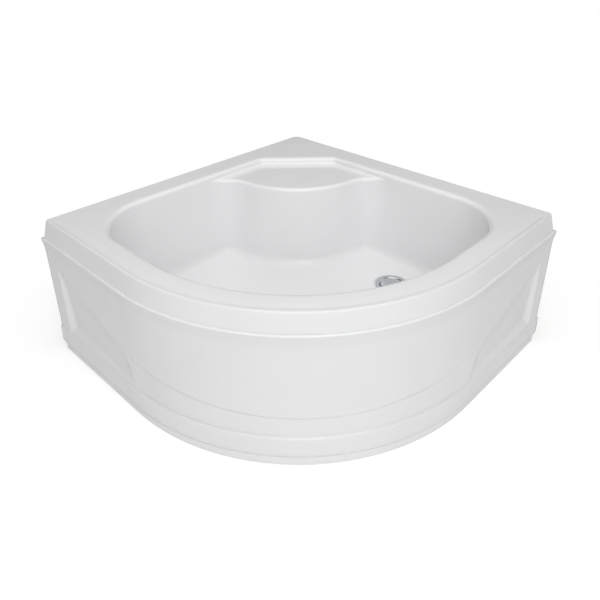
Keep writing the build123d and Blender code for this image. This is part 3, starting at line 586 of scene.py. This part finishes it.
def rim_rows():
    """Rows over the rim: the low ridge along its front, its top edge, the leaning lip, the lip's lower edge, and
    back up inside to the underside. Each corner is a front inset, a wall inset and a height. Behind the ridge the
    top dips by a smooth step of the inset, 3 t^2 - 2 t^3, and comes back over a longer one, and the dip fades out
    where the front ends."""
    lip_bottom = HEIGHT - LIP_DEPTH
    inner_lean = (RIM_TOP_INSET - RIM_LIP_INSET) * (LIP_DEPTH - SHEET) / LIP_DEPTH
    corners = [
        (RIM_TOP_INSET + 4, 7, HEIGHT),
        (RIM_TOP_INSET, 0, HEIGHT),
        (RIM_LIP_INSET, 0, lip_bottom),
        (RIM_LIP_INSET + SHEET, SHEET, lip_bottom),
        (RIM_LIP_INSET + SHEET + inner_lean, SHEET, HEIGHT - SHEET),
        (RIM_LIP_INSET + SHEET + inner_lean + 7, SHEET + 7, HEIGHT - SHEET),
    ]
    profile = rounded(corners, (RIM_EDGE_RADIUS, LIP_EDGE_RADIUS, LIP_EDGE_RADIUS, 3.0), 7, 1.0)
    rows = [np.column_stack([rim_plan(front, wall), np.full(STATIONS, z)]) for front, wall, z in profile]
    front_place = np.arange(STATIONS) - FRONT_FIRST
    fade = np.clip(np.minimum(front_place, FRONT_LAST - FRONT_FIRST - front_place) / 3, 0, 1)
    ridge = []
    end_inset = RIDGE_INSET + RIDGE_RISE + RIDGE_FALL
    for inset in np.append(np.linspace(end_inset, RIDGE_INSET + RIDGE_RISE, 7), RIDGE_INSET + RIDGE_RISE * RIDGE_STEPS):
        rise = np.clip((inset - RIDGE_INSET) / RIDGE_RISE, 0, 1)
        fall = np.clip((end_inset - inset) / RIDGE_FALL, 0, 1)
        dip = RIDGE_HEIGHT * rise**2 * (3 - 2 * rise) * fall**2 * (3 - 2 * fall)
        plan = rim_plan(inset, 8 + (inset - RIM_TOP_INSET - 4) * 0.8)
        ridge.append(np.column_stack([plan, HEIGHT - dip * fade]))
    return ridge + rows


def make_tray():
    """The acrylic moulding: basin, mouth, rim and lip on top, and the same shapes grown by the sheet beneath."""
    rim = rim_rows()
    rows = basin_rows(0, rim[0])[::-1] + rim + basin_rows(SHEET, rim[-1])
    return basin_shell("tray_moulding", rows, 0, SHEET, "acrylic", "tray_shell")


def make_skin():
    """The glass fibre laminate under basin and seat."""
    inner, outer = basin_rows(SHEET + SKIN_GAP), basin_rows(SHEET + LAMINATE)
    return basin_shell(
        "glass_fibre_skin", inner[::-1] + outer, SHEET + SKIN_GAP, SHEET + LAMINATE, "glass_fibre", "reinforcement_layer"
    )


# Front panel


def panel_stations():
    """Places along the panel from the left wall end to the right one, closer together where its shape changes."""
    flat = np.concatenate([
        np.linspace(PANEL_WALL_GAP, RECESS_START - 4, 8, endpoint=False),
        np.arange(RECESS_START - 4, RECESS_START + RECESS_DEPTH + 4, 1.25),
        np.linspace(RECESS_START + RECESS_DEPTH + 4, BAND_START - 10, 42, endpoint=False),
        np.linspace(BAND_START - 10, FLAT_LENGTH, 16, endpoint=False),
    ])
    length = 2 * FLAT_LENGTH + FRONT_RADIUS * math.pi / 2
    arc_places = np.linspace(FLAT_LENGTH, length - FLAT_LENGTH, 173)
    return np.concatenate([flat, arc_places, length - flat[::-1]]), length


def front_point(place, inset):
    """Plan point at a place along the plinth line and an inset behind it: straight on the flats, on the arc's
    radius less the inset between them."""
    turn = (place - FLAT_LENGTH) / FRONT_RADIUS
    angle = np.clip(turn, 0, math.pi / 2) - math.pi / 2
    before = np.minimum(place - FLAT_LENGTH, 0)
    after = np.maximum(place - FLAT_LENGTH - FRONT_RADIUS * math.pi / 2, 0)
    radius = FRONT_RADIUS - inset
    x = ARC_CENTRE[0] + radius * np.cos(angle) + before
    y = ARC_CENTRE[1] + radius * np.sin(angle) + after
    return x, y


BROW_SLOPE = 0.17
BROW_END_SLOPE = 0.1
BROW_BLUR = 1.6
END_SLOPE = 5.0
CHEEK_SLOPE = 0.6
SILL_SLOPE = 0.5


def smooth_step(share):
    """Smooth rise from 0 to 1, which is 3 t^2 - 2 t^3."""
    share = np.clip(share, 0, 1)
    return share**2 * (3 - 2 * share)


def soft_least(values, blur):
    """Smooth minimum of several fields, rounded over about blur millimetres."""
    total = -values[0] / blur
    for value in values[1:]:
        total = np.logaddexp(total, -value / blur)
    return -blur * total


def crease_line(place, length):
    """Height of the line that the moulded recess or, round the arc, the curved crease starts from."""
    from_wall = np.minimum(place, length - place)
    share = np.clip((from_wall - RECESS_START) / (RECESS_END - RECESS_START), 0, 1)
    straight = FACE_FOOT + RECESS_TOP + (RECESS_END_TOP - RECESS_TOP) * share
    x, y = front_point(place, 0)
    across = (x + y) / ROOT2
    curved = CREASE_HEIGHT + CREASE_RADIUS - np.sqrt(CREASE_RADIUS**2 - across**2)
    mix = np.clip((from_wall - RECESS_END) / (FLAT_LENGTH - RECESS_END), 0, 1)
    return straight * (1 - mix) + curved * mix


RISE = (RECESS_DEPTH - RECESS_TOP_DEPTH) / RECESS_TOP
END_RISE = (RECESS_DEPTH - RISE * RECESS_END_TOP - RECESS_END_DEPTH) / (RECESS_END - RECESS_START)


def foot_depth(from_wall):
    """Depth of the recess's floor at its foot: it falls in a straight line from the wall end to the arc."""
    return RECESS_DEPTH - END_RISE * (np.clip(from_wall, RECESS_START, RECESS_END) - RECESS_START)


def moulded_depth(place, length, height, line_height):
    """How far the panel's face is set back: on the flats the least of the recess's flat floor, which is given by
    its depth at three corners, and of the slopes at its four sides, and round the arc a low step with a fine groove, a half sine, under it."""
    from_wall = np.minimum(place, length - place)
    floor_depth = foot_depth(from_wall) - RISE * (height - FACE_FOOT)
    late = np.clip((from_wall - RECESS_END) / RECESS_END_TURN + 1, 0, 1)
    line = line_height - RECESS_END_DROP * (1 - np.sqrt(1 - late**2))
    brow_slope = BROW_SLOPE + (BROW_END_SLOPE - BROW_SLOPE) * (from_wall - RECESS_START) / (RECESS_END - RECESS_START)
    brow = soft_least([(line - height) * brow_slope, (RECESS_END - from_wall) * END_SLOPE], BROW_BLUR)
    walls = [floor_depth, brow, (from_wall - RECESS_START) * CHEEK_SLOPE, (height - FACE_FOOT) * SILL_SLOPE]
    recess = soft_least(walls, 0.8)
    recess = 0.35 * np.logaddexp(0, recess / 0.35)
    below = np.clip((line_height - height) / BAND_STEP, 0, 1)
    groove = CREASE_DEPTH * np.sin(math.pi * np.clip((line_height - height) / CREASE_WIDTH, 0, 1))
    band = BAND_DEPTH * below * smooth_step((from_wall - RECESS_END) / BAND_RUN)
    return np.maximum(recess, band + groove * smooth_step((from_wall - RECESS_END) / CREASE_RUN))


def resampled(profile, count):
    """The same profile with count points, evenly placed along its length."""
    along = np.append(0, np.cumsum(np.linalg.norm(np.diff(profile, axis=0), axis=1)))
    even = np.linspace(0, along[-1], count)
    return np.stack([np.interp(even, along, profile[:, axis]) for axis in (0, 1)], axis=1)


def panel_profiles():
    """Outer and inner section of the panel above and below its face, as inset and height, with equal counts."""
    bead_centre = (BEAD_INSET + BEAD_RADIUS, PANEL_TOP - BEAD_RADIUS)
    bead = arc((BEAD_INSET + BEAD_ROLL, PANEL_TOP - BEAD_ROLL), BEAD_ROLL, 90, 180 + BEAD_TURN, 17)
    head = np.vstack([(PANEL_RETURN, PANEL_TOP), (bead[0, 0] + 4, PANEL_TOP), bead])
    cove = rounded([bead[-1], face_point(FACE_TOP + COVE_BLEND), face_point(FACE_TOP - 6)], (2000.0,), 16)
    head = np.vstack([head, cove[1:]])
    inner_head = np.vstack([
        (PANEL_RETURN, PANEL_TOP - PANEL_SHEET),
        arc(bead_centre, BEAD_RADIUS - PANEL_SHEET, 90, 180 + BEAD_TURN, 9),
        (FACE_TOP_INSET + PANEL_SHEET + 0.6, FACE_TOP + 3),
        face_point(FACE_TOP - 6) + (PANEL_SHEET, 0),
    ])
    curl = rounded(
        [(0, PLINTH_BELLY), (0, TOE_HEIGHT + 11), (PLINTH_CURL_INSET, TOE_HEIGHT + TOE_NOTCH)], (18.0,), 11
    )
    foot = np.vstack([
        rounded(
            [face_point(FACE_FOOT), face_point(FACE_FOOT - 0.4), (PLINTH_TOP_INSET, PLINTH_TOP + 1.2), curl[0]],
            (0.8, 3.2), 7, 0.3,
        )[1:],
        curl[1:],
        (TOE_INSET + TOE_NOTCH, TOE_HEIGHT),
        rounded(
            [(TOE_INSET, TOE_HEIGHT - TOE_NOTCH), (TOE_INSET, PANEL_FOOT), (PANEL_RETURN, PANEL_FOOT)], (1.5,), 4, 0.5
        ),
    ])
    inner_foot = rounded(
        [
            face_point(FACE_FOOT) + (PANEL_SHEET, 0),
            (PLINTH_TOP_INSET + PANEL_SHEET, PLINTH_TOP - 1),
            (PANEL_SHEET, PLINTH_BELLY),
            (TOE_INSET + PANEL_SHEET + 1, TOE_HEIGHT),
            (TOE_INSET + PANEL_SHEET, PANEL_FOOT + PANEL_SHEET),
            (PANEL_RETURN, PANEL_FOOT + PANEL_SHEET),
        ],
        (2, 8, 4, 2), 5,
    )
    return head, resampled(inner_head, len(head)), foot, resampled(inner_foot, len(foot))


def face_point(height):
    """Inset and height of a point on the panel's leaning face."""
    share = (height - FACE_FOOT) / (FACE_TOP - FACE_FOOT)
    return np.array([FACE_FOOT_INSET + (FACE_TOP_INSET - FACE_FOOT_INSET) * share, height])


def face_heights(line_height, sill_depth):
    """Heights of the face's rows at each station, top to bottom: even above the line, close beside it and in the
    chamfer at the foot, and even between."""
    top, near = FACE_TOP - 6, 6.2
    above = [top + (line_height + near - top) * share for share in np.linspace(0, 1, 16)[1:]]
    beside = [line_height + step for step in (2.0, 0.8, 0.25, 0.0, -0.4, -1.0, -1.8, -2.5, -3.3, -4.1, -5.0, -near)]
    toe = sill_depth / (SILL_SLOPE + RISE)
    foot_rows = [FACE_FOOT + toe * share for share in (1.3, 1.18, 1.08, 1.0, 0.92, 0.8, 0.6, 0.4, 0.2, 0.08, 0.0)]
    start = line_height - near
    between = [start + (foot_rows[0] - start) * share for share in np.linspace(0, 1, 15)[1:-1]]
    return np.array(above + beside + between + foot_rows)


def make_panel():
    """The front panel: its section carried along flat, arc and flat, with the moulded recesses and the crease in
    its face. The inner skin follows the same shapes one sheet behind."""
    place, length = panel_stations()
    line_height = crease_line(place, length)
    heights = face_heights(line_height, foot_depth(np.minimum(place, length - place)))
    depth = moulded_depth(place[None, :], length, heights, line_height[None, :])
    inset = face_point(heights)[0] + depth
    head, inner_head, foot, inner_foot = panel_profiles()

    def skin(upper, lower, behind):
        fixed = [np.repeat(part[:, :, None], len(place), axis=2) for part in (upper, lower)]
        face = np.stack([inset + behind, heights], axis=1)
        return np.concatenate([fixed[0], face, fixed[1]], axis=0)

    outer = skin(head, foot, 0.0)
    inner = skin(inner_head, inner_foot, PANEL_SHEET)
    loop = np.concatenate([outer, inner[::-1]])
    x, y = front_point(place[None, :], loop[:, 0])
    points = np.stack([x, y, loop[:, 1]], axis=-1).transpose(1, 0, 2).reshape(-1, 3)
    around = len(loop)
    faces = ring_faces(len(place), around)
    for first in (0, (len(place) - 1) * around):
        near = first + np.arange(len(outer) - 1)
        far = first + around - 1 - np.arange(len(outer) - 1)
        faces += np.stack([near, near + 1, far - 1, far], axis=1).tolist()
    return make_piece("front_panel_moulding", points, faces, "panel", "panel_acrylic", "front_panel")


# Waste


def make_waste():
    """Chrome flange and domed cap, turned about the waste's axis with softened edges."""
    top, bottom = FLANGE_HIGH[2], FLANGE_LOW[2]
    seat = top - 3.0
    radius = FLANGE_HIGH[0] - WASTE[0]
    section = [
        (30.5, 118), (30.5, bottom), (28.5, bottom), (28.5, 117), (26.4, 117), (26.4, 120), (28.5, 120), (28.5, 129),
        (36, top), (radius - 1.5, top), (radius, top - 1.5), (radius, seat), (36, seat), (30.5, 127.5), (30.5, 118.5),
    ]
    radii = [0.3, 0.3, 0.3, 0.3, 0.3, 0.3, 2.0, 2.0, 1.5, 0.8, 0.4, 1.0, 1.0]
    revolve("waste_flange_turned", rounded(section, radii, 5, 0.2), 128, "tray", "chrome", "waste_flange")
    cap_low, cap_high = node_box("waste_cap")
    cap_radius = cap_high[0] - WASTE[0]
    base, crown = cap_low[2], cap_high[2]
    dome_rise = 3.5
    sphere = (cap_radius**2 + dome_rise**2) / (2 * dome_rise)
    reach = np.linspace(0, 0.93, 14) * cap_radius
    dome = np.column_stack([reach, crown - sphere + np.sqrt(sphere**2 - reach**2)])
    edge = rounded([dome[-1], (cap_radius, crown - dome_rise), (cap_radius, base), (cap_radius - 4, base)], (2.0, 0.6), 6, 0.3)
    under = [(cap_radius - 5, base + 1.2), (0, base + 1.2)]
    profile = np.vstack([dome, edge[1:], under])
    revolve("waste_cap_turned", profile, 128, "waste_insert", "chrome", "waste_cap", closed=False)


# Floor, light and camera

FLOOR_GLOW = 0.45
FLOOR_BOUNCE = 0.1
BACK_FILL = 0.12
SIDE_FILL = 0.22
FRONT_FILL = 1.08
FRONT = (0.70, -0.58, 0.4)
LAMPS = [
    ("key_box", (1.6, -1.2, 1.7), (2.0, 2.0), 3.4),
    ("near_box", (0.95, -0.85, 1.25), (1.3, 1.3), 2.2),
    ("top_box", (0.3, -0.3, 1.7), (1.5, 1.5), 4.2),
    ("high_box", (-0.45, 0.45, 2.3), (2.0, 2.0), 12.0),
    ("strip_box", (1.0, -0.95, 1.9), (0.7, 0.1), 5.0),
]

def make_floor():
    """A pale floor that reads as white to the camera and keeps the tray's shadow."""
    mesh = bpy.data.meshes.new("studio_floor")
    reach = 30.0
    mesh.from_pydata([(-reach, -reach, 0), (reach, -reach, 0), (reach, reach, 0), (-reach, reach, 0)], [], [(0, 1, 2, 3)])
    material = bpy.data.materials.new("matt_white_studio_floor")
    material.use_nodes = True
    tree = material.node_tree
    tree.nodes.clear()
    paint = add(tree, "BsdfDiffuse", sockets={"Color": srgb("#E6E6E6")})
    glow = add(tree, "Emission", sockets={"Color": (1, 1, 1, 1), "Strength": FLOOR_GLOW})
    both = add(tree, "AddShader", {0: paint.outputs[0], 1: glow.outputs[0]})
    white = add(tree, "Emission", sockets={"Color": (1, 1, 1, 1), "Strength": 1.0})
    away = add(tree, "VectorMath", {0: add(tree, "TexCoord").outputs["Object"]}, operation="LENGTH").outputs["Value"]
    far = add(tree, "MapRange", {"Value": away}, {"From Min": 0.66, "From Max": 0.95}).outputs[0]
    ground = add(tree, "MixShader", {0: far, 1: both.outputs[0], 2: white.outputs[0]})
    seen = add(tree, "LightPath").outputs
    bounce = add(tree, "Emission", sockets={"Color": (1, 1, 1, 1), "Strength": FLOOR_BOUNCE})
    lit = add(tree, "AddShader", {0: paint.outputs[0], 1: bounce.outputs[0]})
    mixed = add(tree, "MixShader", {0: seen["Is Camera Ray"], 1: lit.outputs[0], 2: ground.outputs[0]})
    output = add(tree, "OutputMaterial")
    tree.links.new(mixed.outputs[0], output.inputs[0])
    mesh.materials.append(material)
    floor = bpy.data.objects.new("studio_floor", mesh)
    bpy.context.scene.collection.objects.link(floor)


def make_world():
    """Soft surroundings: low at the back, rising in a straight line to the sides, and brighter towards the front
    by the fourth power of the angle's cosine. The camera sees white."""
    world = bpy.data.worlds.new("studio_surroundings")
    bpy.context.scene.world = world
    world.use_nodes = True
    tree = world.node_tree
    tree.nodes.clear()
    facing = add(
        tree, "VectorMath", {0: add(tree, "TexCoord").outputs["Generated"]}, {1: FRONT}, operation="DOT_PRODUCT"
    ).outputs["Value"]
    ahead = add(tree, "Math", {0: facing}, {1: 0.0}, operation="MAXIMUM").outputs[0]
    lobe = add(tree, "Math", {0: ahead}, {1: 4.0}, operation="POWER").outputs[0]
    sockets = {"From Min": -1.0, "From Max": 0.2, "To Min": BACK_FILL, "To Max": SIDE_FILL}
    around = add(tree, "MapRange", {"Value": facing}, sockets).outputs[0]
    level = add(tree, "Math", {0: lobe, 2: around}, {1: FRONT_FILL}, operation="MULTIPLY_ADD").outputs[0]
    fill = add(tree, "Background", {"Strength": level}, {"Color": (1, 1, 1, 1)})
    white = add(tree, "Background", sockets={"Color": (1, 1, 1, 1), "Strength": 1.0})
    seen = add(tree, "LightPath").outputs["Is Camera Ray"]
    mixed = add(tree, "MixShader", {0: seen, 1: fill.outputs[0], 2: white.outputs[0]})
    output = add(tree, "OutputWorld")
    tree.links.new(mixed.outputs[0], output.inputs[0])


def soft_box(name, place, target, size, power):
    """Area lamp of a width and a height that faces a point."""
    data = bpy.data.lights.new(name, "AREA")
    data.shape = "RECTANGLE"
    data.size, data.size_y = size
    data.energy = power
    lamp = bpy.data.objects.new(name, data)
    lamp.location = place
    lamp.rotation_euler = (Vector(target) - Vector(place)).to_track_quat("-Z", "Y").to_euler()
    bpy.context.scene.collection.objects.link(lamp)


def make_camera():
    """Camera above and in front of the arc, at the photograph's angle: 44 degrees round and 28 degrees down."""
    yaw, pitch, roll = math.radians(44.2), math.radians(28.3), math.radians(-0.4)
    ahead = Vector((-math.sin(yaw) * math.cos(pitch), math.cos(yaw) * math.cos(pitch), -math.sin(pitch)))
    right = Vector((math.cos(yaw), math.sin(yaw), 0))
    up = right.cross(ahead)
    turned = right * math.cos(roll) + up * math.sin(roll)
    raised = up * math.cos(roll) - right * math.sin(roll)
    data = bpy.data.cameras.new("camera")
    data.lens = 35.44
    data.sensor_width = 36.0
    data.shift_x = 0.0025
    data.shift_y = -0.1
    camera = bpy.data.objects.new("camera", data)
    camera.matrix_world = Matrix.Translation((0.890, -0.9214, 1.0174)) @ Matrix((turned, raised, -ahead)).transposed().to_4x4()
    bpy.context.scene.collection.objects.link(camera)
    bpy.context.scene.camera = camera


make_camera()
make_world()
make_floor()
for lamp_name, lamp_place, lamp_size, lamp_power in LAMPS:
    soft_box(lamp_name, lamp_place, (0, 0, 0.2), lamp_size, lamp_power)
bpy.context.scene.view_settings.view_transform = "Standard"

for node_name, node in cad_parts.items():
    for material_slot in node.material_slots:
        slot_name = material_slot.material.name.split(".")[0]
        if slot_name in MATERIALS:
            material_slot.material = MATERIALS[slot_name]
        else:
            print("no finish for", node_name, slot_name)

make_tray()
make_skin()
make_panel()
make_waste()
